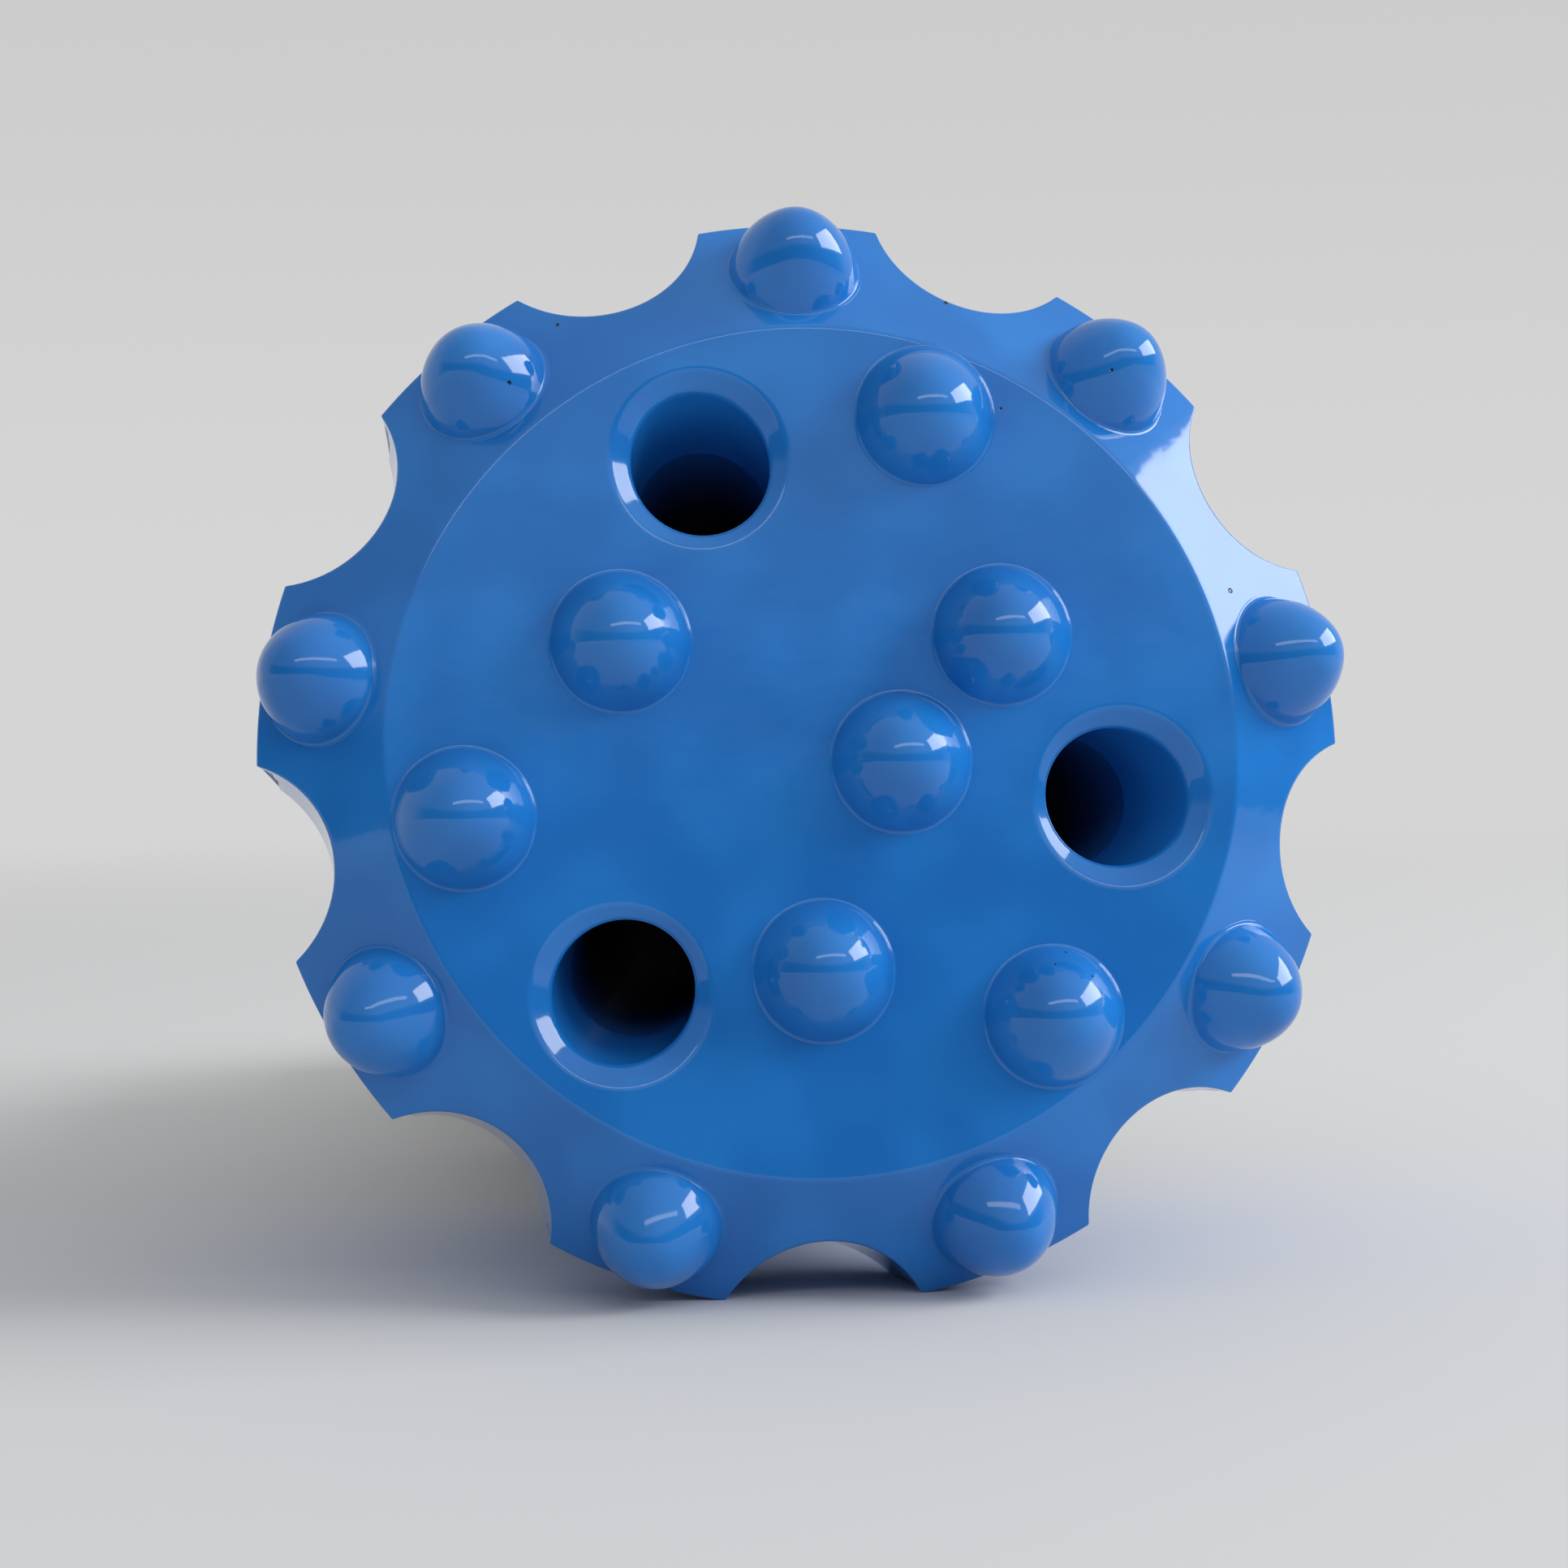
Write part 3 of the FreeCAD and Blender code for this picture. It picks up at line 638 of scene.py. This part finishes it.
for ringName in ("outerRing", "middleRing"):
    reach, first = buttonSizes[ringName]
    seats += [("%sEnamel%d" % (ringName, k + 1), "face", reach, 0.0,
               first + k * 360 / buttonSizes["ringCount"], 0.0)
              for k in range(buttonSizes["ringCount"])]
seats.append(("coreEnamel", "face", buttonSizes["core"][0], 0.0, buttonSizes["core"][1], 0.0))
caps = {"gauge": buttonCap("gauge", gaugeFall), "face": buttonCap("face", 0.0)}
for name, kind, reach, height, angle, lean in seats:
    makePiece(name, [(seated(caps[kind], reach, height, angle, lean)[::-1], True)],
              blueEnamel)
print("button coats:", len(seats))


# the room: floor distances in metres, bands as the two ends of a smooth step
stageLook = {
    "floorColour": (0.66, 0.665, 0.67, 1.0),
    "backdropLow": (0.665, 0.665, 0.672, 1.0),
    "backdropHigh": (0.60, 0.60, 0.605, 1.0),
    "floorRadius": 6.0,
    "fadeStart": 0.35,
    "fadeEnd": 1.1,
    "ceiling": 0.78,
    "darkBand": 0.10,
    "leftShare": 0.55,
    "floorSides": 96,
    "floorRoughness": 0.75,
    "floorSpecular": 0.2,
    "backdropBand": (0.0, 0.20),    # height over which the backdrop turns from low to high
    "ceilingBand": (0.20, 0.34),    # height over which the dim band turns to ceiling
    "sideBand": (-0.9, 0.7),        # from left to right
    "nearBand": (-0.15, 0.35),      # from the near side to the backdrop
}

spread = np.linspace(0, 2 * math.pi, stageLook["floorSides"], endpoint=False)
floorRim = np.column_stack([np.cos(spread), np.sin(spread), spread * 0])
floorMesh = bpy.data.meshes.new("floor")
floorMesh.from_pydata((floorRim * stageLook["floorRadius"]).tolist(), [],
                      [list(range(stageLook["floorSides"]))])
floor = bpy.data.objects.new("floor", floorMesh)
bpy.context.scene.collection.objects.link(floor)


def floorMaterial():
    # plain pale floor near the bit, which fades into the backdrop's own colour further out
    material = bpy.data.materials.new("paleFloor")
    material.use_nodes = True
    tree, shader, output = nodeTools(material)
    shader.inputs["Base Color"].default_value = stageLook["floorColour"]
    shader.inputs["Roughness"].default_value = stageLook["floorRoughness"]
    shader.inputs["Specular IOR Level"].default_value = stageLook["floorSpecular"]
    coordinates = tree.nodes.new("ShaderNodeTexCoord")
    length = tree.nodes.new("ShaderNodeVectorMath")
    length.operation = "LENGTH"
    tree.links.new(coordinates.outputs["Object"], length.inputs[0])
    far = ramp(tree, length.outputs["Value"], stageLook["fadeStart"], stageLook["fadeEnd"])
    glow = tree.nodes.new("ShaderNodeEmission")
    glow.inputs[0].default_value = stageLook["backdropLow"]
    mix = tree.nodes.new("ShaderNodeMixShader")
    feed(tree, far, mix.inputs[0])
    tree.links.new(shader.outputs[0], mix.inputs[1])
    tree.links.new(glow.outputs[0], mix.inputs[2])
    tree.links.new(mix.outputs[0], output.inputs[0])
    return material


floorMesh.materials.append(floorMaterial())


def makeWorld():
    # a room by direction: pale backdrop behind the bit, pale ceiling, a dim band at eye level on
    # the near side, brighter to the right; the camera sees only the backdrop's gradient
    world = bpy.data.worlds.new("studio")
    bpy.context.scene.world = world
    world.use_nodes = True
    tree = world.node_tree
    tree.nodes.clear()
    output = tree.nodes.new("ShaderNodeOutputWorld")
    coordinates = tree.nodes.new("ShaderNodeTexCoord")
    split = tree.nodes.new("ShaderNodeSeparateXYZ")
    tree.links.new(coordinates.outputs["Generated"], split.inputs[0])
    right, away, up = split.outputs
    look = stageLook
    backdrop = mixColour(tree, ramp(tree, up, *look["backdropBand"]),
                         look["backdropLow"], look["backdropHigh"])
    ceiling = ramp(tree, up, *look["ceilingBand"], look["darkBand"], look["ceiling"])
    side = ramp(tree, right, *look["sideBand"], look["leftShare"], 1.0)
    near = maths(tree, "MULTIPLY", ceiling, side)
    room = mixColour(tree, ramp(tree, away, *look["nearBand"]),
                     toVector(tree, near, near, near), backdrop)
    path = tree.nodes.new("ShaderNodeLightPath")
    light = tree.nodes.new("ShaderNodeBackground")
    feed(tree, mixColour(tree, path.outputs["Is Camera Ray"], room, backdrop), light.inputs[0])
    tree.links.new(light.outputs[0], output.inputs[0])


makeWorld()

windowLook = {
    # direction in the bit's frame (right, up, out of the face), radiance, and width and height
    # as seen from the bit, in degrees
    "mainWindow": ((0.86, 0.46, 0.16), 7.5, 46.0, 22.0),
    "rearStrip": ((0.10, 0.47, 0.88), 3.0, 62.0, 6.0),
    "distance": 2.0,
}


def addWindow(name, direction, radiance, wide, tall):
    # a rectangle of light that faces the bit; its power follows from radiance and area
    towards = np.array(direction) @ bitFrame
    towards /= np.linalg.norm(towards)
    distance = windowLook["distance"]
    light = bpy.data.lights.new(name, "AREA")
    light.shape = "RECTANGLE"
    light.size = 2 * distance * math.tan(math.radians(wide / 2))
    light.size_y = 2 * distance * math.tan(math.radians(tall / 2))
    light.energy = radiance * math.pi * light.size * light.size_y
    lamp = bpy.data.objects.new(name, light)
    bpy.context.scene.collection.objects.link(lamp)
    side = np.cross([0, 0, 1.0], towards)
    side /= np.linalg.norm(side)
    turn = Matrix(np.column_stack([side, np.cross(towards, side), towards]).tolist())
    lamp.matrix_world = Matrix.Translation(faceCentre + towards * distance) @ turn.to_4x4()


for windowName in ("mainWindow", "rearStrip"):
    addWindow(windowName, *windowLook[windowName])

cameraPlace = {
    "distance": 443.5,        # from the face, along the camera's axis, in millimetres
    "aside": (3.696, 4.085),  # how far the face's centre lies right of and above the axis
    "turns": (-6.0518, 6.642, 1.9554),   # pitch, yaw and roll against the bit's own frame
    "lens": 87.84,
    "sensor": 36,
}
tilt, yaw, roll = (math.radians(a) for a in cameraPlace["turns"])
cameraTurn = np.array(Matrix.Rotation(tilt, 3, "X") @ Matrix.Rotation(yaw, 3, "Y")
                      @ Matrix.Rotation(roll, 3, "Z"))
eye = cameraTurn.T @ np.array([-cameraPlace["aside"][0], -cameraPlace["aside"][1],
                               cameraPlace["distance"]])
cameraData = bpy.data.cameras.new("camera")
cameraData.lens = cameraPlace["lens"]
cameraData.sensor_width = cameraPlace["sensor"]
camera = bpy.data.objects.new("camera", cameraData)
bpy.context.scene.collection.objects.link(camera)
axes = cameraTurn @ bitFrame
camera.matrix_world = Matrix.Translation(place(eye)) @ Matrix(axes.T.tolist()).to_4x4()
bpy.context.scene.camera = camera
bpy.context.scene.view_settings.view_transform = "Standard"
print("stage, light and camera set")
